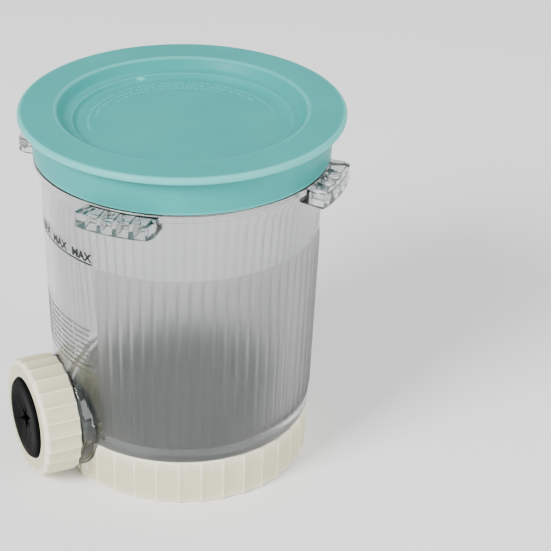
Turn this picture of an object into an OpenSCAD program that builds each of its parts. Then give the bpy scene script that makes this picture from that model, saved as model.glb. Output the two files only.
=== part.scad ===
// Soft-serve cup with a storage lid, a push-on base and a side spout.
//
// The cup's axis is Z and the base rests on Z = 0. The spout points along -Y.
// A screw ring on the spout's threaded neck clamps a soft star nozzle.

/* [Cup] */
// Outer radius of the wall where it meets the base
cup_r_bottom = 46.1; // [45.9:0.1:46.4]
// Outer radius of the wall just under the rim
cup_r_top = 49.0; // [48.6:0.1:49.2]
// Thickness of the wall
wall = 2.4; // [2:0.1:2.6]
// Height of the clear band above the base, where the wall is thick
band_h = 5.5; // [5.3:0.1:5.8]
// Height of the top edge, hidden in the lid
cup_top_z = 130.2; // [128:0.1:130.3]
// Height of the rim flange's underside
rim_z = 114.4; // [113.5:0.1:114.6]
// Outer radius of the rim flange
rim_r = 51.4; // [50.5:0.1:52]

/* [Reeding] */
// Angle between two ribs of the reeded wall
rib_pitch = 5; // [5, 6, 7.5, 10]
// How far a rib stands out from the wall
rib_proud = 0.35; // [0.2:0.05:0.5]
// Height of the top of the reeding
reed_top_z = 91.6; // [60:0.1:100]
// Half the angle of the smooth panel above the spout
panel_half = 30; // [30:5:60]

/* [Lugs] */
// Number of locking lugs around the rim
lug_count = 4; // [3, 4]
// Outer radius of the lugs
lug_r = 58.2; // [55:0.1:60]
// Angle from the spout to the start of the first lug
lug_start = 29.7; // [29:0.1:32]
// Angle that each lug covers, before its far corner is cut
lug_angle = 28.6; // [26:0.1:30]
// Height of a lug's underside
lug_z = 111.1; // [110:0.1:112]
// Height of a lug
lug_h = 5.6; // [5:0.1:6]

/* [Base] */
// Height of the base
base_h = 17.3; // [16.5:0.1:18]
// Outer radius of the base, over the ridges
base_r = 46.0; // [45.8:0.1:46.3]
// Number of scallops around the base
base_scallops = 36; // [24:1:48]
// Height of the floor that the ice cream rests on
floor_z = 9.4; // [8.5:0.1:9.6]

/* [Spout] */
// Height of the spout's axis
spout_z = 22.4; // [22.2:0.1:22.4]
// Radius of the passage through the spout
spout_bore_r = 13.8; // [13:0.1:14]
// Outer radius of the collar where the spout leaves the cup
collar_r = 20.3; // [19.5:0.1:20.4]
// Distance from the cup's axis to the collar's face
collar_face = 46.7; // [46.5:0.1:46.9]
// Distance from the cup's axis to the neck's open end
neck_end = 56.2; // [55.8:0.1:56.4]

/* [Screw ring] */
// Outer radius of the screw ring, over the ridges
ring_r = 21.4; // [20.6:0.1:21.8]
// Number of scallops around the screw ring
ring_scallops = 24; // [18:1:30]
// Distance from the cup's axis to the ring's back
ring_back = 47.3; // [47.3:0.1:47.6]
// Distance from the cup's axis to the ring's front
ring_front = 60.6; // [60:0.1:61]
// Travel of the ring in one full turn
thread_lead = 6; // [6:0.5:7]

/* [Nozzle] */
// Number of points of the star opening
star_points = 6; // [5:1:8]
// Radius to the tips of the star
star_tip_r = 5.6; // [4.6:0.1:7]
// Radius to the notches of the star
star_notch_r = 3.3; // [3.2:0.1:4.2]

/* [Lid] */
// Height of the lid's top face
lid_top_z = 133; // [132.8:0.1:134]
// Radius of the lid's flange
lid_r = 56.2; // [54:0.1:58]
// Thickness of the lid's flange
lid_flange_h = 2.6; // [2.3:0.1:2.9]
// Depth of the sunken centre of the lid
lid_recess = 5.3; // [4:0.1:5.5]

/* [Hidden] */
$fn = 96;

CREAM = "#e2dfcf";
TEAL = "#7dc4bf";
CLEAR = [0.8, 0.82, 0.83, 0.45];
SLATE = "#5d666d";
BLACK = "#262428";

// Gap between two pieces that slide or turn on each other
gap = 0.3;
// Overlap that joins two shapes of one piece
bite = 0.5;

// The foot is the narrow lower end of the cup, held in the base's groove
skirt_in_r = base_r - 2.5;
foot_r = skirt_in_r - gap;
foot_in_r = foot_r - 2;
seal_r = foot_in_r - gap;
seal_in_r = seal_r - 2.4;
plate_h = 2.6;
foot_z = plate_h + gap;
band_top_z = base_h + band_h;
slant = atan((cup_r_top - cup_r_bottom) / (rim_z - base_h));
wall_top_r = cup_r_top + 0.2;
mouth_r = wall_top_r - wall;

rim_h = 2.9;
rib_r = 2;

neck_r = spout_bore_r + 2.5;
thread_h = 1.2;
thread_w = 1.5;
thread_starts = 2;
thread_step = 11.25;
thread_phase = 4;
ring_bore_r = neck_r + thread_h + 0.4;
ring_wall = 1.9;
nozzle_face_r = 14.6;
nozzle_front = ring_front + 1.1;
nozzle_back = neck_end - 4;
flange_back = neck_end + 0.1;
flange_front = ring_front - ring_wall - 0.1;

lid_skirt_z = rim_z + rim_h + 0.2;

// Outer radius of the cup's wall at height z
function cup_r(z) = cup_r_bottom + (z - base_h) * tan(slant);

// Stands a shape that is built along +Z on the spout's axis, pointing out of the cup
module on_spout() {
  translate([0, 0, spout_z]) rotate([90, 0, 0]) children();
}

// A tube between two distances along Z
module tube(r_out, r_in, from, to) {
  translate([0, 0, from]) difference() {
    cylinder(h = to - from, r = r_out);
    translate([0, 0, -1]) cylinder(h = to - from + 2, r = r_in);
  }
}

// A disc whose edge is cut by shallow hollow scallops that meet in ridges at radius r
module scalloped_disc(r, count, hollow) {
  half_chord = r * sin(180 / count);
  cutter_r = (half_chord * half_chord + hollow * hollow) / (2 * hollow);
  reach = r * cos(180 / count) - hollow + cutter_r;
  difference() {
    circle(r = r + hollow);
    for (i = [0 : count - 1])
      rotate(i * 360 / count) translate([reach, 0]) circle(r = cutter_r);
  }
}

// Cross-section of a thread ridge at one angle: fade is 0 at the ridge's ends and 1 between them
function ridge_section(angle, root_r, crest_r, lead, fade) =
  let (
    z = lead * angle / 360,
    top_r = root_r + (crest_r - root_r) * fade,
    c = cos(angle),
    s = sin(angle)
  )
  [
    [root_r * c, root_r * s, z - thread_w / 2],
    [top_r * c, top_r * s, z - thread_w / 4],
    [top_r * c, top_r * s, z + thread_w / 4],
    [root_r * c, root_r * s, z + thread_w / 2]
  ];

// One helical ridge. Its root lies inside the wall that carries it
module thread_ridge(root_r, crest_r, lead, sweep) {
  steps = round(sweep / thread_step);
  fade_steps = 3;
  points = [
    for (i = [0 : steps])
      each ridge_section(
        i * thread_step, root_r, crest_r, lead,
        0.2 + 0.8 * min(1, i / fade_steps, (steps - i) / fade_steps)
      )
  ];
  sides = [
    for (i = [0 : steps - 1], k = [0 : 3])
      each let (a = 4 * i + k, b = 4 * i + (k + 1) % 4)
      [[a, b, b + 4], [a, b + 4, a + 4]]
  ];
  first = [[0, 3, 2], [0, 2, 1]];
  last_start = 4 * steps;
  last = [
    [last_start, last_start + 1, last_start + 2],
    [last_start, last_start + 2, last_start + 3]
  ];
  faces = concat(sides, first, last);
  inward = crest_r < root_r;
  polyhedron(points = points, faces = inward ? [for (f = faces) [f[2], f[1], f[0]]] : faces);
}

// All starts of a thread, from a distance along the spout
module thread(root_r, crest_r, from, sweep, turn) {
  translate([0, 0, from])
    for (k = [0 : thread_starts - 1])
      rotate(turn + k * 360 / thread_starts) thread_ridge(root_r, crest_r, thread_lead, sweep);
}

// Plan of one locking lug: a plain end on the near side, a cut corner on the far side
module lug_plan() {
  half = lug_angle / 2;
  cut_long = 3.7;
  cut_wide = 1.7;
  far_side = (cup_r_top + 2.6) * sin(half);
  inner = cup_r_top - wall;
  intersection() {
    difference() {
      circle(r = lug_r);
      circle(r = cup_r_top - wall / 2);
    }
    polygon([
      [inner * cos(half), -inner * sin(half)],
      [(lug_r + 1) * cos(half), -(lug_r + 1) * sin(half)],
      [lug_r + 1, 0],
      [lug_r, far_side - cut_wide],
      [lug_r - cut_long, far_side],
      [inner * cos(half), far_side]
    ]);
  }
}

// One locking lug: cored out from below into cells, with a round dimple on top
module lug() {
  cells = 4;
  cell_w = 4.2;
  cell_pitch = 5.6;
  skin = 1.4;
  inner = cup_r_top + 1.5;
  difference() {
    translate([0, 0, lug_z]) linear_extrude(lug_h) lug_plan();
    for (i = [0 : cells - 1])
      translate([inner, (i - (cells - 1) / 2) * cell_pitch - cell_w / 2, lug_z - 1])
        cube([lug_r - skin - 0.9 - inner, cell_w, lug_h - skin + 1]);
    translate([lug_r - 4.5, -2.8, lug_z + lug_h - 0.7]) cylinder(h = 1, r = 1.6);
  }
}

// Places one copy of a lug at each locking position around the rim
module at_lugs() {
  for (i = [0 : lug_count - 1])
    rotate(lug_start + lug_angle / 2 - 90 + i * 360 / lug_count) children();
}

// Upright ribs around the wall, except on the smooth panel
module ribs() {
  count = (360 - 2 * panel_half) / rib_pitch;
  from = band_top_z + 1;
  for (i = [0 : count - 1])
    rotate(-90 + panel_half + (i + 0.5) * rib_pitch)
      translate([cup_r(from) + rib_proud - rib_r, 0, from])
        rotate([0, slant, 0]) cylinder(h = reed_top_z - from, r = rib_r);
}

// Outside of the cup: foot, tapered wall, rim flange and the ring that the lid covers
module cup_outside() {
  rotate_extrude() polygon([
    [0, foot_z],
    [foot_r - 0.6, foot_z],
    [foot_r, foot_z + 0.6],
    [foot_r, base_h + 0.1],
    [cup_r_bottom - 0.2, base_h + 0.1],
    [cup_r_bottom, base_h + 0.3],
    [cup_r_top, rim_z],
    [rim_r - 0.5, rim_z],
    [rim_r, rim_z + 0.5],
    [rim_r, rim_z + rim_h - 0.5],
    [rim_r - 0.5, rim_z + rim_h],
    [wall_top_r, rim_z + rim_h],
    [wall_top_r, cup_top_z - 0.6],
    [wall_top_r - 0.6, cup_top_z],
    [0, cup_top_z]
  ]);
}

// Inside of the cup, with the step at the top of the thick band
module cup_inside() {
  rotate_extrude() polygon([
    [0, foot_z - 1],
    [foot_in_r, foot_z - 1],
    [foot_in_r, band_top_z],
    [cup_r(band_top_z) - wall, band_top_z],
    [mouth_r - 0.1, rim_z],
    [mouth_r, cup_top_z + 1],
    [0, cup_top_z + 1]
  ]);
}

module cup_body() color(CLEAR) {
  difference() {
    union() {
      cup_outside();
      ribs();
      at_lugs() lug();
      on_spout() {
        cylinder(h = collar_face, r = collar_r);
        cylinder(h = neck_end, r = neck_r);
        thread(neck_r - bite, neck_r + thread_h, collar_face + 2.2, 360, thread_phase);
      }
    }
    cup_inside();
    on_spout() cylinder(h = neck_end + 1, r = spout_bore_r);
  }
}

// Base: a floor plate and a scalloped skirt, with a notch that clears the spout's collar
module base_cap() color(CREAM) {
  notch_r = collar_r + gap;
  notch_from = 35;
  difference() {
    intersection() {
      linear_extrude(base_h) scalloped_disc(base_r, base_scallops, 0.3);
      rotate_extrude() polygon([
        [0, 0],
        [base_r - 1.4, 0],
        [base_r + 0.1, 1.3],
        [base_r + 0.1, base_h - 0.6],
        [base_r - 0.5, base_h],
        [0, base_h]
      ]);
    }
    translate([0, 0, plate_h]) cylinder(h = base_h, r = skirt_in_r);
    difference() {
      on_spout() translate([0, 0, notch_from]) cylinder(h = base_r, r = notch_r);
      cylinder(h = plate_h, r = seal_r + gap);
    }
  }
}

// Soft floor: a disc in an upright wall that seals the cup's foot, open at the spout
module base_seal() color(SLATE) {
  disc_h = 2.2;
  difference() {
    union() {
      tube(seal_r, seal_in_r, plate_h, band_top_z - 0.2);
      translate([0, 0, floor_z - disc_h]) cylinder(h = disc_h, r = seal_r - 1);
      for (a = [0 : 60 : 300])
        rotate(a) translate([12, -0.9, plate_h]) cube([seal_in_r - 11.5, 1.8, floor_z - plate_h - 1]);
    }
    on_spout() cylinder(h = seal_r + 1, r = spout_bore_r + 0.2);
  }
}

// Soft nozzle: a flange that the ring clamps, a proud face with a star opening, a hollow back
module star_nozzle() color(BLACK) {
  flange_r = neck_r + 0.6;
  back_r = spout_bore_r - gap;
  hollow_r = back_r - 1.6;
  lip_h = 2.4;
  on_spout() difference() {
    rotate_extrude() polygon([
      [0, nozzle_back],
      [back_r - 0.4, nozzle_back],
      [back_r, nozzle_back + 0.4],
      [back_r, flange_back],
      [flange_r, flange_back],
      [flange_r, flange_front],
      [nozzle_face_r, flange_front],
      [nozzle_face_r, nozzle_front - 0.9],
      [nozzle_face_r - 0.4, nozzle_front - 0.25],
      [nozzle_face_r - 1.2, nozzle_front],
      [0, nozzle_front]
    ]);
    translate([0, 0, nozzle_back - 1]) cylinder(h = nozzle_front - lip_h - nozzle_back + 1, r = hollow_r);
    translate([0, 0, nozzle_front - lip_h - 1]) linear_extrude(lip_h + 2) polygon([
      for (i = [0 : 2 * star_points - 1])
        let (r = i % 2 == 0 ? star_tip_r : star_notch_r, a = 90 + i * 180 / star_points)
        [r * cos(a), r * sin(a)]
    ]);
  }
}

// Screw ring: a scalloped grip, an inside thread and a front wall that holds the nozzle
module nozzle_ring() color(CREAM) {
  on_spout() {
    difference() {
      intersection() {
        translate([0, 0, ring_back]) linear_extrude(ring_front - ring_back)
          scalloped_disc(ring_r, ring_scallops, 0.3);
        rotate_extrude() polygon([
          [0, ring_back],
          [ring_r - 0.6, ring_back],
          [ring_r + 0.1, ring_back + 0.7],
          [ring_r + 0.1, ring_front - 1.7],
          [ring_r - 0.5, ring_front - 0.6],
          [ring_r - 1.6, ring_front],
          [0, ring_front]
        ]);
      }
      translate([0, 0, ring_back - 1]) cylinder(h = ring_front - ring_back - ring_wall + 1, r = ring_bore_r);
      cylinder(h = ring_front + 1, r = nozzle_face_r + gap);
    }
    thread(ring_bore_r + bite, ring_bore_r - thread_h, collar_face + 2.2, 315, thread_phase - 90);
  }
}

// Lid: a wide flange, a stepped sunken centre, a skirt outside the cup's rim and a lip inside it
module storage_lid() color(TEAL) {
  under = lid_top_z - lid_flange_h;
  floor_top = lid_top_z - lid_recess;
  floor_under = floor_top - 2.2;
  floor_r = 35.7;
  ledge_z = floor_top + 1.6;
  ledge_r = 39.6;
  skirt_in = wall_top_r + 0.4;
  lip_r = mouth_r - 0.4;
  rotate_extrude() polygon([
    [0, floor_top],
    [floor_r, floor_top],
    [floor_r + 0.9, floor_top + 0.3],
    [floor_r + 1.7, ledge_z - 0.4],
    [ledge_r, ledge_z],
    [ledge_r + 1.2, ledge_z + 0.8],
    [ledge_r + 2.5, lid_top_z - 0.9],
    [ledge_r + 3.4, lid_top_z - 0.2],
    [ledge_r + 4.4, lid_top_z],
    [lid_r - 1.2, lid_top_z],
    [lid_r - 0.35, lid_top_z - 0.35],
    [lid_r, lid_top_z - 1.15],
    [lid_r - 0.35, under + 0.35],
    [lid_r - 1, under],
    [skirt_in + 2.3, under],
    [skirt_in + 1.9, lid_skirt_z + 0.4],
    [skirt_in + 1.5, lid_skirt_z],
    [skirt_in + 0.3, lid_skirt_z],
    [skirt_in, lid_skirt_z + 0.6],
    [skirt_in, under],
    [lip_r, under],
    [lip_r, lid_skirt_z + 4],
    [lip_r - 0.7, lid_skirt_z + 3.3],
    [lip_r - 1.8, lid_skirt_z + 3.3],
    [lip_r - 1.8, under - 0.4],
    [43.4, under - 0.4],
    [42.6, floor_top + 0.9],
    [40.6, floor_top + 0.4],
    [40, floor_under],
    [0, floor_under]
  ]);
}

base_cap();
base_seal();
cup_body();
star_nozzle();
nozzle_ring();
storage_lid();
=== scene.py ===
"""The looks of the soft-serve cup: every visible piece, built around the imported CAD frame.

Shapes are built in millimetres and stored in metres. The cup's axis is Z, the base rests on Z = 0, and
the spout points along -Y.
"""
import math

import bmesh
import bpy
from mathutils import Euler, Matrix, Vector


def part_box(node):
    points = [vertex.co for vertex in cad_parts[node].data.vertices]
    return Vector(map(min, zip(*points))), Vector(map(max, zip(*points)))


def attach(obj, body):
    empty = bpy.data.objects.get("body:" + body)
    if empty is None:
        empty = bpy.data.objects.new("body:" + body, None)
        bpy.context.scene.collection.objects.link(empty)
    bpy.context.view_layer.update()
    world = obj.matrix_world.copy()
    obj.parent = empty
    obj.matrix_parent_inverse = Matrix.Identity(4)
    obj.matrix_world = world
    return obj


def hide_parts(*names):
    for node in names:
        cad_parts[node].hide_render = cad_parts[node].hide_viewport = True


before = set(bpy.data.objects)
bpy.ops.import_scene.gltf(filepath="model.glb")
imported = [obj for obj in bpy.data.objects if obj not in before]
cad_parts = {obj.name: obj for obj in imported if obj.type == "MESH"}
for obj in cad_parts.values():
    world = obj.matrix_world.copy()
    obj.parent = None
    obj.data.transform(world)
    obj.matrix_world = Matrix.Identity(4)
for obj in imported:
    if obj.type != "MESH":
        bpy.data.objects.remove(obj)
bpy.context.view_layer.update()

MM = 0.001
TURN = 2 * math.pi


def span(node):
    """Lowest and highest corner of a CAD node, in millimetres."""
    low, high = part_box(node)
    return low / MM, high / MM


# ---------------------------------------------------------------- driving sizes, from the frame

LID_LOW, LID_HIGH = span("storage_lid")
CAP_HIGH = span("base_cap")[1]
CUP_LOW, CUP_HIGH = span("cup_body")
SEAL_HIGH = span("base_seal")[1]
RING_LOW, RING_HIGH = span("nozzle_ring")
NOZZLE_LOW, NOZZLE_HIGH = span("star_nozzle")

# Lid: edge of the flange, its top, its thickness, the depth of the dish, and the skirt's lower edge.
LID_R = LID_HIGH.x
LID_TOP = LID_HIGH.z
LID_FLANGE = 2.6
LID_DISH = 5.3
SKIRT_BOTTOM = LID_LOW.z

# Base: top and outer radius of the scalloped cap, and the height of the grey band above it.
CAP_TOP = CAP_HIGH.z
CAP_R = 46.0
CAP_WALL = 2.5
CAP_FLOOR = 2.6
CAP_SCALLOPS = 36
BAND_TOP = SEAL_HIGH.z + 0.2

# Cup: mouth, wall radii above the cap and under the rim, rim band, and wall thickness.
CUP_TOP = CUP_HIGH.z
CUP_R_BOTTOM = 46.1
CUP_R_TOP = 49.0
MOUTH_R = CUP_R_TOP + 0.2
RIM_Z = 114.4
RIM_R = 51.4
RIM_HEIGHT = 2.9
WALL = 2.4

# Reeded wall: upper end, flutes all round, mesh steps in a flute, and half the plain panel's angle.
REED_TOP = 91.2
FLUTE_COUNT = 72
FLUTE_STEPS = 16
FLUTE_PITCH = TURN / FLUTE_COUNT
PANEL_HALF = math.radians(30)

# Spout: axis height and direction, collar, neck and bore, then the ring's and nozzle's ends along it.
SPOUT_Z = (RING_LOW.z + RING_HIGH.z) / 2
SPOUT_ANGLE = -math.pi / 2
COLLAR_R = 20.3
COLLAR_FACE = 46.7
NECK_R = 16.3
NECK_END = 56.2
BORE_R = 13.8
RING_BACK = -RING_HIGH.y
RING_FRONT = -RING_LOW.y
RING_SCALLOPS = 24
RING_R = (RING_HIGH.z - SPOUT_Z) / math.cos(math.pi / RING_SCALLOPS)
RING_LIP = 1.9
NOZZLE_FRONT = -NOZZLE_LOW.y
NOZZLE_BACK = -NOZZLE_HIGH.y


# ---------------------------------------------------------------- mesh tools

def link(name, bm, smooth_angle=35):
    """Turns a bmesh in millimetres into a linked object in metres, smooth up to an angle."""
    bmesh.ops.recalc_face_normals(bm, faces=bm.faces)
    mesh = bpy.data.meshes.new(name)
    bm.to_mesh(mesh)
    bm.free()
    mesh.transform(Matrix.Scale(MM, 4))
    obj = bpy.data.objects.new(name, mesh)
    bpy.context.scene.collection.objects.link(obj)
    smooth(obj, smooth_angle)
    return obj


def smooth(obj, angle):
    """Smooth shading with edges sharper than an angle in degrees kept crisp."""
    mesh = obj.data
    mesh.polygons.foreach_set("use_smooth", [True] * len(mesh.polygons))
    mesh.set_sharp_from_angle(angle=math.radians(angle))


def apply_modifiers(obj):
    """Replaces an object's mesh by the one its modifiers make."""
    graph = bpy.context.evaluated_depsgraph_get()
    mesh = bpy.data.meshes.new_from_object(obj.evaluated_get(graph))
    old = obj.data
    obj.modifiers.clear()
    obj.data = mesh
    bpy.data.meshes.remove(old)


def combine(obj, tools, operation):
    """Joins or cuts an object with closed tools, which are used up."""
    for tool in tools:
        step = obj.modifiers.new("combine", "BOOLEAN")
        step.operation = operation
        step.solver = "EXACT"
        step.object = tool
    apply_modifiers(obj)
    for tool in tools:
        bpy.data.objects.remove(tool)


# Spacing that keeps the painted edge highlights narrow.
EDGE_HOLD = 0.6
LEAST_HOLD = 0.1


def rounded(points, steps=4, hold=0.0):
    """Outline from (radius, height, fillet) corners, with each corner replaced by an arc of its fillet.

    hold adds a point this far beyond both ends of each arc, which keeps the painted edge highlights close to
    the edge.
    """
    def held(side, reach):
        extra = min(hold, 0.5 * side.length - reach)
        return [here + side.normalized() * (reach + extra)] if extra > LEAST_HOLD else []

    out = []
    count = len(points)
    for i, (x, y, fillet) in enumerate(points):
        here = Vector((x, y))
        if fillet == 0:
            out.append(here)
            continue
        before = Vector(points[i - 1][:2]) - here
        after = Vector(points[(i + 1) % count][:2]) - here
        half = before.angle(after) / 2
        reach = min(fillet / math.tan(half), 0.49 * before.length, 0.49 * after.length)
        radius = reach * math.tan(half)
        middle = here + (before.normalized() + after.normalized()).normalized() * (radius / math.sin(half))
        start = here + before.normalized() * reach - middle
        end = here + after.normalized() * reach - middle
        sweep = start.angle_signed(end)
        out += held(before, reach)
        for k in range(steps + 1):
            turn = Matrix.Rotation(-sweep * k / steps, 2)
            out.append(middle + turn @ start)
        out += held(after, reach)
    return out


def lathe(name, outline, segments=288, shape=None, smooth_angle=35):
    """Closed solid turned about Z. shape(angle, radius, height) moves a point in or out."""
    bm = bmesh.new()
    rings = []
    for point in outline:
        if point.x < 1e-6:
            rings.append([bm.verts.new((0, 0, point.y))])
            continue
        ring = []
        for j in range(segments):
            angle = TURN * j / segments
            radius = shape(angle, point.x, point.y) if shape else point.x
            ring.append(bm.verts.new((radius * math.cos(angle), radius * math.sin(angle), point.y)))
        rings.append(ring)
    for i, ring in enumerate(rings):
        following = rings[(i + 1) % len(rings)]
        if len(ring) == 1 and len(following) == 1:
            continue
        for j in range(segments):
            k = (j + 1) % segments
            corners = [ring[j % len(ring)], ring[k % len(ring)]]
            corners += [following[k % len(following)], following[j % len(following)]]
            unique = list(dict.fromkeys(corners))
            bm.faces.new(unique)
    return link(name, bm, smooth_angle)


def to_spout(obj):
    """Lays a piece that was built along +Z on the spout's axis."""
    place = Matrix.Translation((0, 0, SPOUT_Z * MM)) @ Euler((math.pi / 2, 0, 0)).to_matrix().to_4x4()
    obj.data.transform(place)
    return obj


def finish_piece(obj, body, material, slot, *nodes):
    """Gives a piece its material and its body, and hides the CAD nodes it stands for; slot is not used."""
    obj.data.materials.clear()
    obj.data.materials.append(material)
    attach(obj, body)
    if nodes:
        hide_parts(*nodes)
    return obj


def smoothstep(low, high, value):
    """0 below low, 1 above high, and an even curve between."""
    t = min(1.0, max(0.0, (value - low) / (high - low)))
    return t * t * (3 - 2 * t)


def angle_from_spout(angle):
    """Angle about Z measured from the spout, from -pi to pi."""
    return (angle - SPOUT_ANGLE + math.pi) % TURN - math.pi


# ---------------------------------------------------------------- materials

NOISE_LOW, NOISE_HIGH = 0.3, 0.7
# Pointiness range over which convex edges fade into the painted highlight.
EDGE_LOW, EDGE_HIGH = 0.504, 0.522
# Places of the colour sockets on Blender's Mix node.
MIX_FACTOR, MIX_A, MIX_B, MIX_RESULT = 0, 6, 7, 2
PLASTIC_IOR = 1.49
SILICONE_IOR = 1.41


class Nodes:
    """A material's node tree, with short calls for the nodes that the materials share."""

    def __init__(self, name):
        self.material = bpy.data.materials.new(name)
        self.material.use_nodes = True
        self.tree = self.material.node_tree
        self.shader = self.tree.nodes["Principled BSDF"]
        self.place = self.tree.nodes.new("ShaderNodeTexCoord").outputs["Object"]

    def add(self, kind, **values):
        node = self.tree.nodes.new(kind)
        for key, value in values.items():
            if key in node.inputs:
                node.inputs[key].default_value = value
            else:
                setattr(node, key, value)
        return node

    def wire(self, a, b):
        self.tree.links.new(a, b)

    def noise(self, scale, detail=3.0, rough=0.5):
        node = self.add("ShaderNodeTexNoise", Scale=scale, Detail=detail, Roughness=rough)
        self.wire(self.place, node.inputs["Vector"])
        return node.outputs["Fac"]

    def ramp(self, value, low, high, dark, light):
        """Maps a value from low..high to a colour from dark to light."""
        node = self.add("ShaderNodeValToRGB")
        node.color_ramp.elements[0].position = low
        node.color_ramp.elements[0].color = (*dark, 1)
        node.color_ramp.elements[1].position = high
        node.color_ramp.elements[1].color = (*light, 1)
        self.wire(value, node.inputs["Fac"])
        return node.outputs["Color"]

    def map_range(self, value, from_low, from_high, low, high):
        """Maps from_low..from_high to low..high."""
        node = self.add("ShaderNodeMapRange")
        node.inputs["From Min"].default_value = from_low
        node.inputs["From Max"].default_value = from_high
        node.inputs["To Min"].default_value = low
        node.inputs["To Max"].default_value = high
        self.wire(value, node.inputs["Value"])
        return node.outputs["Result"]

    def spread(self, value, low, high):
        """Maps the middle of a noise's range to low..high."""
        return self.map_range(value, NOISE_LOW, NOISE_HIGH, low, high)

    def bump(self, value, strength, distance, normal=None):
        node = self.add("ShaderNodeBump", Strength=strength, Distance=distance)
        self.wire(value, node.inputs["Height"])
        if normal:
            self.wire(normal, node.inputs["Normal"])
        return node.outputs["Normal"]

    def mix(self, factor, a, b):
        """Mixes two colours, each a socket or a constant."""
        node = self.add("ShaderNodeMix", data_type="RGBA")
        self.wire(factor, node.inputs[MIX_FACTOR])
        for socket, value in ((node.inputs[MIX_A], a), (node.inputs[MIX_B], b)):
            if isinstance(value, tuple):
                socket.default_value = (*value, 1)
            else:
                self.wire(value, socket)
        return node.outputs[MIX_RESULT]

    def edges(self, low, high):
        """1 on convex edges, 0 on flats, from the surface's own curvature; it places the painted edge
        highlight.
        """
        geometry = self.add("ShaderNodeNewGeometry")
        return self.map_range(geometry.outputs["Pointiness"], low, high, 0, 1)


def moulded_plastic(name, dark, light, edge_highlight, roughness, grain, gloss):
    """Opaque moulded plastic: faint clouding, fine grain, a paler painted highlight on convex edges and a
    varied gloss.
    """
    n = Nodes(name)
    clouds = n.ramp(n.noise(38, 4), 0.35, 0.65, dark, light)
    # Convex edges are painted in the paler colour: a painted highlight.
    lit_edges = n.mix(n.edges(EDGE_LOW, EDGE_HIGH), clouds, edge_highlight)
    n.wire(lit_edges, n.shader.inputs["Base Color"])
    n.wire(n.spread(n.noise(90, 5, 0.6), roughness - 0.05, roughness + 0.07), n.shader.inputs["Roughness"])
    fine = n.bump(n.noise(2600, 2), grain, 0.00005)
    waves = n.bump(n.noise(70, 2), 0.12, 0.0004, fine)
    n.wire(waves, n.shader.inputs["Normal"])
    n.shader.inputs["IOR"].default_value = PLASTIC_IOR
    n.shader.inputs["Specular IOR Level"].default_value = gloss
    return n.material


def soft_rubber(name, dark, light, roughness, gloss):
    """Silicone: dull, slightly mottled, with a fine matt skin."""
    n = Nodes(name)
    n.wire(n.ramp(n.noise(60, 5, 0.6), 0.35, 0.65, dark, light), n.shader.inputs["Base Color"])
    n.wire(n.spread(n.noise(140, 4), roughness - 0.06, roughness + 0.08), n.shader.inputs["Roughness"])
    fine = n.bump(n.noise(3200, 2), 0.3, 0.00004)
    n.wire(n.bump(n.noise(160, 3), 0.2, 0.0002, fine), n.shader.inputs["Normal"])
    n.shader.inputs["IOR"].default_value = SILICONE_IOR
    n.shader.inputs["Specular IOR Level"].default_value = gloss
    return n.material


FROST_AND_SHADE_MARK = "reeded"
FROST_ROUGHNESS = 0.4


def clear_plastic():
    """Clear copolyester: a little smoky, faintly hazed by washing, and frosted where it is reeded, where a
    darker tint, deepest on the ridges, is painted shade.
    """
    n = Nodes("clear_copolyester")
    frost_and_shade = n.add("ShaderNodeAttribute", attribute_name=FROST_AND_SHADE_MARK).outputs["Fac"]
    plain = n.ramp(n.noise(30, 3), 0.3, 0.7, (0.745, 0.76, 0.755), (0.795, 0.805, 0.80))
    # The reeded band's darker tint is painted shade.
    frosted = n.ramp(n.noise(45, 3), 0.3, 0.7, (0.53, 0.545, 0.53), (0.59, 0.60, 0.585))
    n.wire(n.mix(frost_and_shade, plain, frosted), n.shader.inputs["Base Color"])
    haze = n.spread(n.noise(120, 5, 0.65), 0.03, 0.09)
    frost = n.add("ShaderNodeMath", operation="MULTIPLY_ADD")
    n.wire(frost_and_shade, frost.inputs[0])
    frost.inputs[1].default_value = FROST_ROUGHNESS
    n.wire(haze, frost.inputs[2])
    n.wire(frost.outputs[0], n.shader.inputs["Roughness"])
    n.wire(n.bump(n.noise(90, 2), 0.06, 0.0003), n.shader.inputs["Normal"])
    n.shader.inputs["Transmission Weight"].default_value = 1.0
    n.shader.inputs["IOR"].default_value = PLASTIC_IOR
    return n.material


def printed_ink():
    """Matt black printing ink."""
    n = Nodes("printed_ink")
    n.wire(n.ramp(n.noise(900, 4), 0.35, 0.6, (0.004, 0.004, 0.0045), (0.012, 0.012, 0.013)),
           n.shader.inputs["Base Color"])
    n.wire(n.spread(n.noise(500, 3), 0.38, 0.55), n.shader.inputs["Roughness"])
    n.wire(n.bump(n.noise(4000, 2), 0.2, 0.00002), n.shader.inputs["Normal"])
    n.shader.inputs["Specular IOR Level"].default_value = 0.1
    return n.material


def floor_paint():
    """Plain pale studio floor."""
    n = Nodes("pale_floor")
    tone = n.ramp(n.noise(3, 3), 0.3, 0.7, (0.89, 0.89, 0.89), (0.92, 0.92, 0.92))
    n.wire(tone, n.shader.inputs["Base Color"])
    n.shader.inputs["Roughness"].default_value = 0.7
    return n.material


TEAL_DARK, TEAL_LIGHT = (0.020, 0.275, 0.258), (0.026, 0.298, 0.28)
CREAM_DARK, CREAM_LIGHT = (0.57, 0.55, 0.345), (0.61, 0.588, 0.38)
# The third colour of each plastic is the painted highlight on its convex edges and ridges.
TEAL = moulded_plastic("teal_plastic", TEAL_DARK, TEAL_LIGHT, (0.09, 0.46, 0.43), 0.38, 0.2, 0.22)
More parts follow.
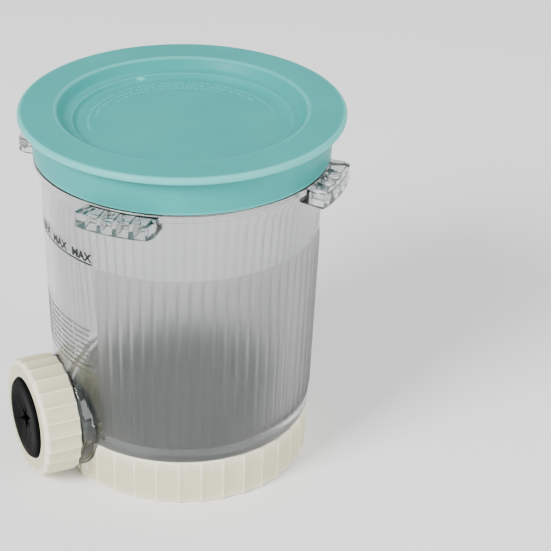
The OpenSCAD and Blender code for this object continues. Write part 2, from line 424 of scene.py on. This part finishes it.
# teal_relief has a fainter painted highlight, for the lid's raised dashes.
TEAL_RELIEF = moulded_plastic("teal_relief", TEAL_DARK, TEAL_LIGHT, (0.048, 0.375, 0.352), 0.38, 0.2, 0.22)
CREAM = moulded_plastic("cream_plastic", CREAM_DARK, CREAM_LIGHT, (0.80, 0.78, 0.62), 0.5, 0.35, 0.4)
CLEAR = clear_plastic()
BLACK = soft_rubber("black_silicone", (0.002, 0.002, 0.0023), (0.004, 0.0037, 0.0043), 0.55, 0.03)
SLATE = soft_rubber("slate_silicone", (0.18, 0.19, 0.19), (0.22, 0.232, 0.23), 0.5, 0.3)
INK = printed_ink()


# ---------------------------------------------------------------- camera

CAMERA_AZIMUTH = math.radians(66.5)
CAMERA_RISE = math.radians(29.16)
CAMERA_DISTANCE = 0.6963
CAMERA_TARGET = Vector((0, 0, 0.0659))
SENSOR = 36.0
LENS = 127.4
SHIFT = (0.1696, 0.005)


def make_camera():
    """The photograph's camera, with its shift in place of a crop."""
    data = bpy.data.cameras.new("camera")
    data.sensor_width = SENSOR
    data.lens = LENS
    data.shift_x, data.shift_y = SHIFT
    data.clip_end = 20
    camera = bpy.data.objects.new("camera", data)
    out = Vector((
        math.cos(CAMERA_RISE) * math.sin(CAMERA_AZIMUTH),
        -math.cos(CAMERA_RISE) * math.cos(CAMERA_AZIMUTH),
        math.sin(CAMERA_RISE),
    ))
    camera.location = CAMERA_TARGET + out * CAMERA_DISTANCE
    camera.rotation_euler = (-out).to_track_quat("-Z", "Y").to_euler()
    bpy.context.scene.collection.objects.link(camera)
    bpy.context.scene.camera = camera


make_camera()


# ---------------------------------------------------------------- scalloped edges

SCALLOP_HOLLOW = 0.6
RIDGE_SOFTNESS = 0.06
RIDGE_BLUNTING = 0.06


def scallops(ridge_r, count, depth_from):
    """shape() for a grip: shallow hollows that meet in soft ridges, on all that lies outside depth_from."""
    pitch = TURN / count
    half_chord = ridge_r * math.sin(pitch / 2)
    cutter_r = (half_chord ** 2 + SCALLOP_HOLLOW ** 2) / (2 * SCALLOP_HOLLOW)
    reach = ridge_r * math.cos(pitch / 2) - SCALLOP_HOLLOW + cutter_r

    def hollow_radius(offset):
        """Where a ray at this angle from a hollow's middle meets the round cutter."""
        across = reach * math.sin(offset)
        return reach * math.cos(offset) - math.sqrt(cutter_r ** 2 - across ** 2)

    def shape(angle, radius, height):
        if radius < depth_from:
            return radius
        offset = (angle + pitch / 2) % pitch - pitch / 2
        limit = hollow_radius(offset)
        near_ridge = smoothstep(1 - RIDGE_SOFTNESS, 1.0, abs(offset) / (pitch / 2))
        limit -= RIDGE_BLUNTING * near_ridge
        return radius - (ridge_r - limit)

    return shape


# ---------------------------------------------------------------- storage lid

def make_lid():
    """Dished lid: wide flange, a skirt outside the cup's mouth and a short lip inside it."""
    skirt_in = CUP_R_TOP + 0.6
    lip = MOUTH_R - WALL - 0.4
    under = LID_TOP - LID_FLANGE
    floor = LID_TOP - LID_DISH
    outline = rounded([
        (0, floor, 0),
        (36.1, floor, 1.3),
        (37.5, floor + 1.4, 0.8),
        (40.3, floor + 1.7, 1.8),
        (43.1, LID_TOP, 1.8),
        (LID_R, LID_TOP, 1.1),
        (LID_R, under, 1.0),
        (skirt_in + 2.2, under, 0.5),
        (skirt_in + 1.8, SKIRT_BOTTOM, 0.5),
        (skirt_in, SKIRT_BOTTOM, 0.5),
        (skirt_in, under, 0.4),
        (lip, under, 0.4),
        (lip, SKIRT_BOTTOM + 3.3, 0.5),
        (lip - 1.8, SKIRT_BOTTOM + 3.3, 0.5),
        (lip - 1.8, under - 0.4, 0.4),
        (43.4, under - 0.4, 0.4),
        (42.6, floor + 0.9, 0.5),
        (40.6, floor + 0.4, 0.5),
        (40.0, floor - 2.2, 0.5),
        (0, floor - 2.2, 0),
    ], 5, EDGE_HOLD)
    lid = lathe("storage_lid_shell", outline)
    finish_piece(lid, "lid", TEAL, "lid_plastic", "storage_lid")


# ---------------------------------------------------------------- clear cup

def cup_radius(height):
    """Outer radius of the plain wall at a height."""
    return CUP_R_BOTTOM + (height - CAP_TOP) * (CUP_R_TOP - CUP_R_BOTTOM) / (RIM_Z - CAP_TOP)


# Flutes: where they start, where they reach their full rise, and the length over which they run out.
CUP_SMOOTH = 50
FLUTE_BOTTOM = BAND_TOP + 1
FLUTE_FULL = FLUTE_BOTTOM + 3
FLUTE_RUNOUT = 8
FLUTE_RISE = 0.35
FLUTE_SHARPNESS = 2.5
FROST_EDGE = 0.4
PANEL_RISE = 0.22


def ridge_share(offset):
    """0 in the middle of a flute, 1 on the ridge between two flutes."""
    across = ((abs(offset) - PANEL_HALF) % FLUTE_PITCH) / FLUTE_PITCH
    return (1 - math.cos(math.pi * abs(2 * across - 1) ** FLUTE_SHARPNESS)) / 2


def reeded(angle, radius, height):
    """Shallow hollow flutes that meet in narrow round ridges, and the plain raised panel above the spout."""
    if radius < cup_radius(height) - 0.05 or height > RIM_Z - 1 or height < CAP_TOP + 1:
        return radius
    offset = abs(angle_from_spout(angle))
    if offset < PANEL_HALF:
        return radius + PANEL_RISE * smoothstep(CAP_TOP + 1, CAP_TOP + 2, height)
    fade = smoothstep(FLUTE_BOTTOM, FLUTE_FULL, height)
    fade -= smoothstep(REED_TOP - FLUTE_RUNOUT, REED_TOP, height)
    return radius + FLUTE_RISE * ridge_share(offset) * fade


def wall_heights(low, high, steps):
    """Heights that divide low..high evenly, without its ends."""
    return [low + (high - low) * i / steps for i in range(1, steps)]


def cup_outer_solid():
    """Outside of the cup down to the axis, so that joins and cuts stay simple."""
    foot_r = CAP_R - 2.8
    low = rounded([
        (0, CUP_LOW.z + 0.4, 0),
        (foot_r, CUP_LOW.z + 0.4, 0.6),
        (foot_r, CAP_TOP + 0.15, 0.1),
        (CUP_R_BOTTOM, CAP_TOP + 0.15, 0.5),
    ], 3)
    heights = [CAP_TOP + 2, BAND_TOP, FLUTE_BOTTOM] + wall_heights(FLUTE_BOTTOM, FLUTE_FULL, 4) + [FLUTE_FULL]
    heights += wall_heights(FLUTE_FULL, REED_TOP - FLUTE_RUNOUT, 18) + [REED_TOP - FLUTE_RUNOUT]
    heights += wall_heights(REED_TOP - FLUTE_RUNOUT, REED_TOP, 6) + [REED_TOP, REED_TOP + FROST_EDGE]
    heights += wall_heights(REED_TOP + FROST_EDGE, RIM_Z, 5)
    wall = [Vector((cup_radius(z), z)) for z in heights]
    high = rounded([
        (0, 80, 0),
        (CUP_R_TOP, 80, 0),
        (CUP_R_TOP, RIM_Z, 0.5),
        (RIM_R, RIM_Z, 0.6),
        (RIM_R, RIM_Z + RIM_HEIGHT, 0.6),
        (MOUTH_R, RIM_Z + RIM_HEIGHT, 0.4),
        (MOUTH_R, CUP_TOP, 0.7),
        (0, CUP_TOP, 0),
    ], 4)[2:]
    return lathe("cup_shell", low[:-1] + wall + high, FLUTE_STEPS * FLUTE_COUNT, reeded, CUP_SMOOTH)


def cup_inner_solid():
    """Hollow of the cup, open through its foot and its mouth."""
    foot_in = CAP_R - 4.8
    mouth = MOUTH_R - WALL
    outline = rounded([
        (0, CUP_LOW.z - 3, 0),
        (foot_in, CUP_LOW.z - 3, 0),
        (foot_in, BAND_TOP, 0.5),
        (cup_radius(BAND_TOP) - WALL, BAND_TOP, 0.8),
        (mouth, RIM_Z, 0),
        (mouth, CUP_TOP - 0.8, 0.5),
        (mouth + 0.8, CUP_TOP + 0.2, 0.3),
        (mouth + 0.8, CUP_TOP + 3, 0),
        (0, CUP_TOP + 3, 0),
    ], 4)
    return lathe("cup_hollow", outline, 480)


def spout_solid():
    """Collar and neck, turned about the spout's axis."""
    outline = rounded([
        (0, 20, 0),
        (COLLAR_R, 20, 0),
        (COLLAR_R, COLLAR_FACE, 0.8),
        (NECK_R, COLLAR_FACE, 0.5),
        (NECK_R, NECK_END, 0.5),
        (0, NECK_END, 0),
    ], 4)
    return to_spout(lathe("spout", outline, 192))


def bore_solid():
    """Passage through the spout, flared where it opens."""
    outline = rounded([
        (0, 10, 0),
        (BORE_R, 10, 0),
        (BORE_R, NECK_END - 0.6, 0.3),
        (BORE_R + 0.5, NECK_END + 0.2, 0.2),
        (BORE_R + 0.5, 60, 0),
        (0, 60, 0),
    ], 3)
    return to_spout(lathe("bore", outline, 160))


THREAD_LEAD = 6.0
THREAD_STARTS = 2
THREAD_STEP = math.radians(6)
THREAD_PHASE = math.radians(4)


def helix_ridge(name, root, crest, start, sweep, turn):
    """One thread ridge about the spout's axis, fading into the wall at both ends."""
    bm = bmesh.new()
    count = round(sweep / THREAD_STEP)
    rings = []
    for i in range(count + 1):
        angle = turn + i * THREAD_STEP
        along = start + THREAD_LEAD * i * THREAD_STEP / TURN
        fade = 0.15 + 0.85 * min(1, i / 6, (count - i) / 6)
        top = root + (crest - root) * fade
        section = [(root, -0.85), (top, -0.42), (top, 0.42), (root, 0.85)]
        rings.append([bm.verts.new((r * math.cos(angle), r * math.sin(angle), along + rise))
                      for r, rise in section])
    for a, b in zip(rings, rings[1:]):
        for k in range(4):
            bm.faces.new((a[k], a[(k + 1) % 4], b[(k + 1) % 4], b[k]))
    bm.faces.new(rings[0])
    bm.faces.new(reversed(rings[-1]))
    return to_spout(link(name, bm, 30))


def thread_ridges(name, root, crest, sweep, turn):
    """The ridges of the two-start thread."""
    start = COLLAR_FACE + 2.2
    first = THREAD_PHASE + turn
    return [helix_ridge(f"{name}_{k}", root, crest, start, sweep, first + k * TURN / THREAD_STARTS)
            for k in range(THREAD_STARTS)]


LUG_COUNT = 4
LUG_R = 58.2
LUG_LOW = 111.1
LUG_HEIGHT = 5.6
LUG_START = math.radians(29.7)
LUG_HALF = math.radians(28.6 / 2)
CELL_COUNT = 4
CELL_WIDTH = 4.2
CELL_PITCH = 5.6
CELL_SKIN = 1.3


def prism(name, outline, low, high, bevel=0.0):
    """Upright prism over a plan outline, with bevelled edges."""
    bm = bmesh.new()
    bottom = [bm.verts.new((x, y, low)) for x, y in outline]
    top = [bm.verts.new((x, y, high)) for x, y in outline]
    bm.faces.new(reversed(bottom))
    bm.faces.new(top)
    for i in range(len(outline)):
        j = (i + 1) % len(outline)
        bm.faces.new((bottom[i], bottom[j], top[j], top[i]))
    if bevel:
        bmesh.ops.bevel(bm, geom=list(bm.edges), offset=bevel, segments=2, profile=0.6, affect="EDGES",
                        clamp_overlap=True)
    return link(name, bm, 40)


def lug_outline():
    """Plan of a lug that points along +X: a plain near end, and a cut corner on the far end."""
    far_side = (CUP_R_TOP + 1) * math.sin(LUG_HALF) + 0.4
    cut_from = LUG_R - 3.7
    inner = CUP_R_TOP - 0.8
    cut_angle = math.asin((far_side - 1.2) / LUG_R)
    steps = 14
    points = [(inner * math.cos(LUG_HALF), -inner * math.sin(LUG_HALF))]
    for i in range(steps + 1):
        a = -LUG_HALF + (LUG_HALF + cut_angle) * i / steps
        points.append((LUG_R * math.cos(a), LUG_R * math.sin(a)))
    points += [(cut_from, far_side), (inner * math.cos(LUG_HALF), far_side)]
    return points


def turned(obj, angle):
    """Turns a piece's mesh about Z."""
    obj.data.transform(Matrix.Rotation(angle, 4, "Z"))
    return obj


def lug_solids():
    """The locking lugs, and the tools that core out their cells and dimples."""
    bodies, cutters = [], []
    inner = CUP_R_TOP + 1.5
    half = CELL_WIDTH / 2
    for i in range(LUG_COUNT):
        angle = SPOUT_ANGLE + LUG_START + LUG_HALF + i * TURN / LUG_COUNT
        bodies.append(turned(prism(f"lug_{i}", lug_outline(), LUG_LOW, LUG_LOW + LUG_HEIGHT, 0.35), angle))
        for k in range(CELL_COUNT):
            y = (k - (CELL_COUNT - 1) / 2) * CELL_PITCH
            outer = math.sqrt(LUG_R ** 2 - (abs(y) + half) ** 2) - CELL_SKIN
            outline = [(inner, y - half), (outer, y - half), (outer, y + half), (inner, y + half)]
            cell = prism(f"cell_{i}_{k}", outline, LUG_LOW - 2, LUG_LOW + LUG_HEIGHT - 1.4, 0.4)
            cutters.append(turned(cell, angle))
        dimple = lathe(f"dimple_{i}", rounded([(0, LUG_LOW + 4.6, 0), (1.2, LUG_LOW + 4.6, 0.4),
                                               (1.9, LUG_LOW + 6.4, 0), (0, LUG_LOW + 6.4, 0)], 3), 32)
        dimple.data.transform(Matrix.Translation((53.6 * MM, -2.8 * MM, 0)))
        cutters.append(turned(dimple, angle))
    return bodies, cutters


def mark_reeding(cup):
    """Stores where the wall is reeded, and more on the ridges, for the material to frost it and darken it
    with painted shade.
    """
    mark = cup.data.attributes.new(FROST_AND_SHADE_MARK, "FLOAT", "POINT")
    values = []
    for vertex in cup.data.vertices:
        x, y, z = vertex.co / MM
        radius = math.hypot(x, y)
        offset = angle_from_spout(math.atan2(y, x))
        on_wall = cup_radius(z) - 0.2 < radius < MOUTH_R and abs(offset) > PANEL_HALF - 0.01
        up = smoothstep(BAND_TOP, FLUTE_BOTTOM, z) - smoothstep(REED_TOP, REED_TOP + FROST_EDGE, z)
        # Ridges get a higher value: more frost, and painted shade streaks along them.
        values.append(up * (0.7 + 0.3 * ridge_share(offset)) if on_wall else 0.0)
    mark.data.foreach_set("value", values)


FILL_Z = 92.0
FILL_HALF_WIDTH = 0.32
FILL_WORD = "MAX"
FILL_WORD_SIZE = 4.3
FILL_WORD_STARTS = (-22.5, -10.2, 2.1, 14.4)
INK_RISE = 0.06


def on_panel(along, height, out=INK_RISE):
    """Point over the panel's face: along is the distance round it from the middle, in millimetres."""
    radius = cup_radius(height) + PANEL_RISE + out
    angle = SPOUT_ANGLE + along / radius
    return Vector((radius * math.cos(angle), radius * math.sin(angle), height))


def printed_patch(bm, left, right, low, high, steps):
    """A thin printed patch that follows the panel's curve."""
    rows = []
    for i in range(steps + 1):
        along = left + (right - left) * i / steps
        rows.append([bm.verts.new(on_panel(along, low)), bm.verts.new(on_panel(along, high))])
    for a, b in zip(rows, rows[1:]):
        bm.faces.new((a[0], b[0], b[1], a[1]))


def printed_word(word, size, along, height):
    """A generic word, drawn with the built-in font and wrapped on the panel."""
    curve = bpy.data.curves.new(word, "FONT")
    curve.body = word
    curve.size = size
    curve.resolution_u = 6
    curve.offset = 0.18
    source = bpy.data.objects.new(word, curve)
    bpy.context.scene.collection.objects.link(source)
    bpy.context.view_layer.update()
    mesh = bpy.data.meshes.new_from_object(source)
    bpy.data.objects.remove(source)
    for vertex in mesh.vertices:
        vertex.co = on_panel(along + vertex.co.x, height + vertex.co.y)
    return mesh


def raised_dashes(name, rows, pitch, low, high, inset, across, rise, place):
    """Rows of small raised dashes, each row shorter by an inset at both ends, in the place of small print."""
    bm = bmesh.new()
    for row in range(rows):
        left, end, count = low + row * inset, high - row * inset, 0
        while left < end:
            share = (row * 0.618 + count * 0.382) % 1
            right = min(end, left + 0.5 + 1.3 * share)
            bottom = row * pitch
            sides = [(left, bottom), (right, bottom), (right, bottom + across), (left, bottom + across)]
            under = [bm.verts.new(place(x, y, -0.05)) for x, y in sides]
            over = [bm.verts.new(place(x, y, rise)) for x, y in sides]
            bm.faces.new(reversed(under))
            bm.faces.new(over)
            for i in range(4):
                j = (i + 1) % 4
                bm.faces.new((under[i], under[j], over[j], over[i]))
            left, count = right + (1.3 if count % 5 == 4 else 0.45), count + 1
    return link(name, bm)


SMALL_PRINT_Z = 47.5
LID_PRINT_R = 32.6
LID_PRINT_ANGLE = math.radians(152)


def panel_place(along, up, out):
    """Point over the panel, above the lowest row of small print."""
    return on_panel(along, SMALL_PRINT_Z + up, out)


def lid_place(along, up, out):
    """Point over the lid's dished floor: along its outer row of print, and up towards the middle."""
    radius = LID_PRINT_R - up
    angle = LID_PRINT_ANGLE - along / radius
    return Vector((radius * math.cos(angle), radius * math.sin(angle), LID_TOP - LID_DISH + out))


def make_small_print():
    """Dashes in place of the raised print on the panel and on the lid."""
    panel = raised_dashes("panel_dashes", 9, 2.15, -21.5, 21.5, 0, 0.8, 0.1, panel_place)
    # The mark frosts the dashes and gives them the reeded band's painted shade.
    mark = panel.data.attributes.new(FROST_AND_SHADE_MARK, "FLOAT", "POINT")
    mark.data.foreach_set("value", [0.6] * len(panel.data.vertices))
    finish_piece(panel, "cup", CLEAR, "clear_cup")
    # The lid's dashes get a faint painted highlight from teal_relief.
    lid = raised_dashes("lid_dashes", 3, 2.3, -62.0, 44.0, 16.0, 1.1, 0.09, lid_place)
    finish_piece(lid, "lid", TEAL_RELIEF, "lid_plastic")


def make_fill_mark():
    """Fill line across the panel, with a generic word above it."""
    bm = bmesh.new()
    reach = PANEL_HALF * CUP_R_TOP - 1.6
    printed_patch(bm, -reach, reach, FILL_Z - FILL_HALF_WIDTH, FILL_Z + FILL_HALF_WIDTH, 40)
    for start in FILL_WORD_STARTS:
        bm.from_mesh(printed_word(FILL_WORD, FILL_WORD_SIZE, start, FILL_Z + 0.9))
    mark = link("fill_mark", bm)
    finish_piece(mark, "cup", INK, "black_silicone")


def make_cup():
    """Clear cup with its spout, thread, lugs and fill mark."""
    cup = cup_outer_solid()
    lugs, cells = lug_solids()
    threads = thread_ridges("neck_thread", NECK_R - 0.5, NECK_R + 1.2, TURN, 0)
    combine(cup, [spout_solid()] + threads, "UNION")
    combine(cup, lugs, "UNION")
    combine(cup, cells, "DIFFERENCE")
    combine(cup, [cup_inner_solid(), bore_solid()], "DIFFERENCE")
    smooth(cup, CUP_SMOOTH)
    mark_reeding(cup)
    finish_piece(cup, "cup", CLEAR, "clear_cup", "cup_body")
    make_fill_mark()


# ---------------------------------------------------------------- base

def make_base():
    """Scalloped cap, notched for the spout's collar."""
    skirt_in = CAP_R - CAP_WALL
    heights = [Vector((CAP_R, z)) for z in (4, 8, 12)]
    outline = rounded([
        (0, 0, 0),
        (CAP_R - 0.3, 0, 1.6),
        (CAP_R, 3, 0),
    ], 5)
    outline += heights + rounded([
        (CAP_R, 8, 0),
        (CAP_R, CAP_TOP, 0.7),
        (skirt_in, CAP_TOP, 0.4),
        (skirt_in, CAP_FLOOR, 0.3),
        (0, CAP_FLOOR, 0),
    ], 4)[1:]
    cap = lathe("base_shell", outline, 1440, scallops(CAP_R, CAP_SCALLOPS, skirt_in + 0.5), 30)
    notch_r = COLLAR_R + 0.3
    notch_back = 41.2
    outline = rounded([(0, notch_back, 0), (notch_r, notch_back, 0), (notch_r, 70, 0), (0, 70, 0)])
    notch = to_spout(lathe("notch", outline, 160))
    combine(cap, [notch], "DIFFERENCE")
    smooth(cap, 30)
    finish_piece(cap, "base", CREAM, "cream_plastic", "base_cap")


def make_floor_seal():
    """Grey seal under the cup's floor, bored through to the spout."""
    outer = SEAL_HIGH.x
    inner = outer - 2.4
    top = SEAL_HIGH.z
    outline = rounded([
        (0, 7.2, 0),
        (inner, 7.2, 0.5),
        (inner, 2.65, 0.3),
        (outer, 2.65, 0.5),
        (outer, top, 0.7),
        (inner, top, 0.9),
        (inner, 9.4, 1.6),
        (0, 9.4, 0),
    ], 4)
    seal = lathe("floor_seal", outline)
    bore_r = BORE_R + 0.2
    outline = rounded([(0, 5, 0), (bore_r, 5, 0), (bore_r, 60, 0), (0, 60, 0)])
    bore = to_spout(lathe("seal_bore", outline, 160))
    combine(seal, [bore], "DIFFERENCE")
    smooth(seal, 35)
    finish_piece(seal, "base", SLATE, "grey_silicone", "base_seal")


# ---------------------------------------------------------------- spout's ring and nozzle

def make_ring():
    """Scalloped screw ring with an internal thread and a lip over the nozzle's flange."""
    bore = NECK_R + 1.6
    aperture = 14.9
    outline = rounded([
        (bore, RING_BACK, 0.4),
        (RING_R, RING_BACK, 0.7),
        (RING_R, RING_FRONT, 1.4),
        (aperture, RING_FRONT, 0.5),
        (aperture, RING_FRONT - RING_LIP, 0.2),
        (bore, RING_FRONT - RING_LIP, 0.3),
    ], 5, EDGE_HOLD)
    ring = lathe("screw_ring", outline, 960, scallops(RING_R, RING_SCALLOPS, bore + 1.0), 30)
    to_spout(ring)
    threads = thread_ridges("ring_thread", bore + 0.5, bore - 1.2, math.radians(315), -math.pi / 2)
    combine(ring, threads, "UNION")
    smooth(ring, 30)
    finish_piece(ring, "ring", CREAM, "cream_plastic", "nozzle_ring")


STAR_POINTS = 6
STAR_TIP = 5.6
STAR_NOTCH = 2.3
STAR_TURN = math.pi / 2


def star_outline():
    """Plan of the star opening, with one tip straight up."""
    outline = []
    for i in range(2 * STAR_POINTS):
        angle = STAR_TURN + i * math.pi / STAR_POINTS
        radius = STAR_NOTCH if i % 2 else STAR_TIP
        outline.append((radius * math.cos(angle), radius * math.sin(angle)))
    return outline


def crease(name, angle):
    """Wedge that cuts a shallow fold into the nozzle's face, from a tip of the star outwards."""
    bm = bmesh.new()
    near, far, half_width, depth = 4.2, 10.5, 0.75, 1.1
    top = NOZZLE_FRONT + 0.6
    corners = [(near, half_width, top), (near, -half_width, top), (near, 0, NOZZLE_FRONT - 0.9 - depth),
               (far, 0.1, top), (far, -0.1, top), (far, 0, NOZZLE_FRONT - 0.1)]
    turn = Matrix.Rotation(angle, 3, "Z")
    a, b, c, d, e, f = [bm.verts.new(turn @ Vector(corner)) for corner in corners]
    for face in ((a, b, c), (d, f, e), (a, d, e, b), (b, e, f, c), (c, f, d, a)):
        bm.faces.new(face)
    return link(name, bm)


def make_nozzle():
    """Black nozzle: hollow back, trapped flange, dished face, and a star with a fold from each tip."""
    flange_r = NECK_R + 0.6
    back_r = BORE_R - 0.3
    hollow_r = back_r - 1.6
    face_r = 14.6
    flange_back = NOZZLE_BACK + 4.1
    flange_front = RING_FRONT - RING_LIP - 0.1
    outline = rounded([
        (0, NOZZLE_FRONT - 2.4, 0),
        (hollow_r, NOZZLE_FRONT - 2.4, 0.8),
        (hollow_r, NOZZLE_BACK, 0.3),
        (back_r, NOZZLE_BACK, 0.4),
        (back_r, flange_back, 0.2),
        (flange_r, flange_back, 0.3),
        (flange_r, flange_front, 0.3),
        (face_r, flange_front, 0.1),
        (face_r, NOZZLE_FRONT - 0.15, 1.0),
        (11.5, NOZZLE_FRONT, 2.5),
        (4, NOZZLE_FRONT - 0.9, 2.0),
        (0, NOZZLE_FRONT - 0.9, 0),
    ], 5)
    nozzle = lathe("nozzle_disc", outline, 192)
    star = prism("star_cut", star_outline(), NOZZLE_FRONT - 6, NOZZLE_FRONT + 3)
    creases = [crease(f"crease_{i}", STAR_TURN + i * TURN / STAR_POINTS) for i in range(STAR_POINTS)]
    to_spout(nozzle)
    combine(nozzle, [to_spout(tool) for tool in [star] + creases], "DIFFERENCE")
    smooth(nozzle, 35)
    finish_piece(nozzle, "nozzle", BLACK, "black_silicone", "star_nozzle")


# ---------------------------------------------------------------- stage

FLOOR_REACH = 6.0
LIGHT_TARGET = Vector((0, 0, 0.06))


def make_floor():
    """Flat floor, 12 m across."""
    bm = bmesh.new()
    size = FLOOR_REACH
    corners = [(-size, -size), (size, -size), (size, size), (-size, size)]
    bm.faces.new([bm.verts.new((x / MM, y / MM, 0)) for x, y in corners])
    floor = link("floor", bm)
    floor.data.materials.append(floor_paint())


def area_light(name, place, size, power):
    """Soft white lamp that points at the middle of the cup."""
    data = bpy.data.lights.new(name, "AREA")
    data.shape = "RECTANGLE"
    data.size, data.size_y = size
    data.energy = power
    lamp = bpy.data.objects.new(name, data)
    lamp.location = place
    lamp.rotation_euler = (LIGHT_TARGET - Vector(place)).to_track_quat("-Z", "Y").to_euler()
    bpy.context.scene.collection.objects.link(lamp)


def make_lights():
    """Key lamp on the spout's side, fill lamp on the camera's side, back lamp, and a soft white world."""
    area_light("key", (0.42, -1.1, 0.95), (0.5, 0.5), 34)
    area_light("fill", (1.25, 0.55, 0.6), (1.0, 1.0), 17)
    area_light("back", (-0.6, 0.8, 1.7), (1.5, 1.2), 14)
    world = bpy.data.worlds.new("studio")
    world.use_nodes = True
    background = world.node_tree.nodes["Background"]
    background.inputs["Color"].default_value = (0.95, 0.96, 0.97, 1)
    background.inputs["Strength"].default_value = 0.68
    bpy.context.scene.world = world


make_lid()
make_cup()
make_base()
make_floor_seal()
make_ring()
make_nozzle()
make_small_print()
make_floor()
make_lights()
